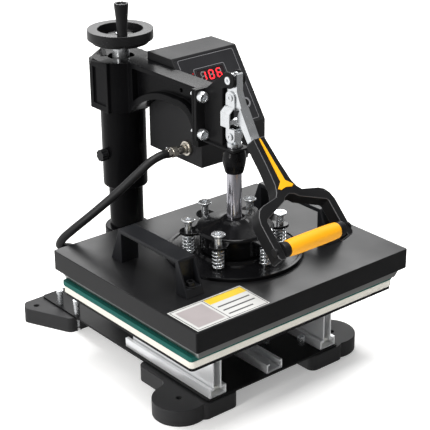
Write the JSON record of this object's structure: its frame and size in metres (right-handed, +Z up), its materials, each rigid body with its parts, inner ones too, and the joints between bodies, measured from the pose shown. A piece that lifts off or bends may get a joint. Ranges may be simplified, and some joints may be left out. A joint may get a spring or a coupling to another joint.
{
  "type": "heat press",
  "caption": "Swing-away heat press: heated platen on a swinging arm, toggle handle, pressure handwheel, control box and slide-out padded bed.",
  "frame": {"origin": "floor level, at the centre of the rectangle of four bench holes in the feet", "axes": "+X to the right along the front edge of the bed, -Y towards the operator, +Z up along the column"},
  "size_m": [0.4, 0.5183, 0.521],
  "materials": {
    "foot_plastic": "matte",
    "black_plate": "satin",
    "bright_aluminium": "extruded",
    "black_tube": "satin",
    "zinc_steel": "zinc plated",
    "white_sponge": "matte",
    "teal_pad": "satin",
    "white_nylon": "matte",
    "brass_nut": "machined",
    "black_casting": "satin paint",
    "grey_box": "fine texture",
    "panel_film": "matte film",
    "circuit_board": "solder mask",
    "black_plastic": "matte",
    "nickel": "satin nickel",
    "red_switch": "gloss",
    "wheel_paint": "satin paint",
    "chrome_rod": "ground",
    "spring_steel": "zinc plated",
    "cover_paint": "satin powder coat",
    "insulation_wool": "matte",
    "element_sheath": "oxidised",
    "heat_plate_metal": "coated",
    "guard_plastic": "satin",
    "zinc_plate": "zinc plated",
    "handle_plastic": "fine texture",
    "yellow_grip": "satin",
    "cable_braid": "braided"
  },
  "bodies": {
    "base": {"foot_front_left": "foot_plastic", "foot_front_right": "foot_plastic", "foot_rear_left": "foot_plastic", "foot_rear_right": "foot_plastic", "rail_left": "bright_aluminium", "rail_middle": "bright_aluminium", "rail_right": "bright_aluminium", "foot_screws": "zinc_steel", "base_plate": "black_plate", "post": "black_tube", "post_collar": "black_tube", "collar_bolts": "zinc_steel"},
    "bed": {"bed_plate": "black_plate", "sponge_pad": "white_sponge", "press_pad": "teal_pad", "support_left": "bright_aluminium", "support_right": "bright_aluminium", "slider_shoes": "white_nylon", "bed_screws": "zinc_steel"},
    "nut": {"swing_nut": "brass_nut"},
    "arm": {"arm_casting": "black_casting", "toggle_bracket": "black_plate", "bracket_screws": "zinc_steel", "guide_bush": "black_casting", "pivot_pin": "zinc_steel", "box_shell": "grey_box", "box_panel": "panel_film", "control_board": "circuit_board", "power_inlet": "black_plastic", "fuse_holder": "black_plastic", "cable_socket": "nickel", "cable_plug": "nickel", "box_screws": "zinc_steel", "heater_cable": "cable_braid"},
    "knob": {"lock_knob": "black_plastic"},
    "set_key": {"set_button": "black_plastic"},
    "down_key": {"down_button": "black_plastic"},
    "up_key": {"up_button": "black_plastic"},
    "rocker": {"power_switch": "red_switch"},
    "wheel": {"pressure_screw": "zinc_steel", "handwheel": "wheel_paint", "crank_pin": "zinc_steel"},
    "crank": {"crank_grip": "black_plastic"},
    "platen": {"lift_rod": "chrome_rod", "rod_clevis": "zinc_steel", "spider_hub": "black_casting", "spring_bolts": "zinc_steel", "springs": "spring_steel", "mounting_disc": "black_casting", "platen_cover": "cover_paint", "insulation": "insulation_wool", "heating_element": "element_sheath", "heat_plate": "heat_plate_metal", "guard_left": "guard_plastic", "guard_right": "guard_plastic", "cable_gland": "black_plastic"},
    "handle": {"lever": "zinc_plate", "handle_body": "handle_plastic", "grip": "yellow_grip"},
    "link": {"toggle_link": "zinc_plate"}
  },
  "joints": [
    {"name": "bed_slide", "type": "slide", "parent": "base", "child": "bed", "axis": [0, -1, 0], "range_m": [0, 0.14]},
    {"name": "arm_swing", "type": "hinge", "parent": "base", "child": "nut", "pos_m": [0, 0.1365, 0.33], "axis": [0, 0, 1], "range_deg": [-180, 180]},
    {"name": "height_adjust", "type": "slide", "parent": "nut", "child": "arm", "axis": [0, 0, 1], "range_m": [0, 0.012]},
    {"name": "wheel_turn", "type": "hinge", "parent": "arm", "child": "wheel", "pos_m": [0, 0.1365, 0.45], "axis": [0, 0, 1], "range_deg": [0, 1730]},
    {"name": "crank_spin", "type": "hinge", "parent": "wheel", "child": "crank", "pos_m": [-0.022, 0.1005, 0.49], "axis": [0, 0, 1], "continuous": true},
    {"name": "knob_turn", "type": "hinge", "parent": "arm", "child": "knob", "pos_m": [-0.042, 0.1365, 0.274], "axis": [1, 0, 0], "continuous": true},
    {"name": "set_press", "type": "slide", "parent": "arm", "child": "set_key", "axis": [0, 0.8277, -0.5611], "range_m": [0, 0.001], "stiffness_N_per_m": 600, "springref_m": -0.001},
    {"name": "down_press", "type": "slide", "parent": "arm", "child": "down_key", "axis": [0, 0.8277, -0.5611], "range_m": [0, 0.001], "stiffness_N_per_m": 600, "springref_m": -0.001},
    {"name": "up_press", "type": "slide", "parent": "arm", "child": "up_key", "axis": [0, 0.8277, -0.5611], "range_m": [0, 0.001], "stiffness_N_per_m": 600, "springref_m": -0.001},
    {"name": "rocker_tilt", "type": "hinge", "parent": "arm", "child": "rocker", "pos_m": [0.145, 0.06, 0.32], "axis": [0, 1, 0], "range_deg": [0, 10]},
    {"name": "platen_lift", "type": "slide", "parent": "arm", "child": "platen", "axis": [0, 0, 1], "range_m": [0, 0.03215], "deforming": ["heater_cable"]},
    {"name": "handle_turn", "type": "hinge", "parent": "arm", "child": "handle", "pos_m": [0, -0.132, 0.455], "axis": [-1, 0, 0], "range_deg": [0, 91]},
    {"name": "link_swing", "type": "hinge", "parent": "platen", "child": "link", "pos_m": [0, -0.132, 0.371], "axis": [1, 0, 0], "range_deg": [0, 27.5]}
  ],
  "couplings": [
    {"joint": "handle_turn", "follows": "platen_lift", "rad_per_m": 48.858},
    {"joint": "link_swing", "follows": "platen_lift", "rad_per_m": 14.458},
    {"joint": "wheel_turn", "follows": "height_adjust", "rad_per_m": 2513.3}
  ]
}
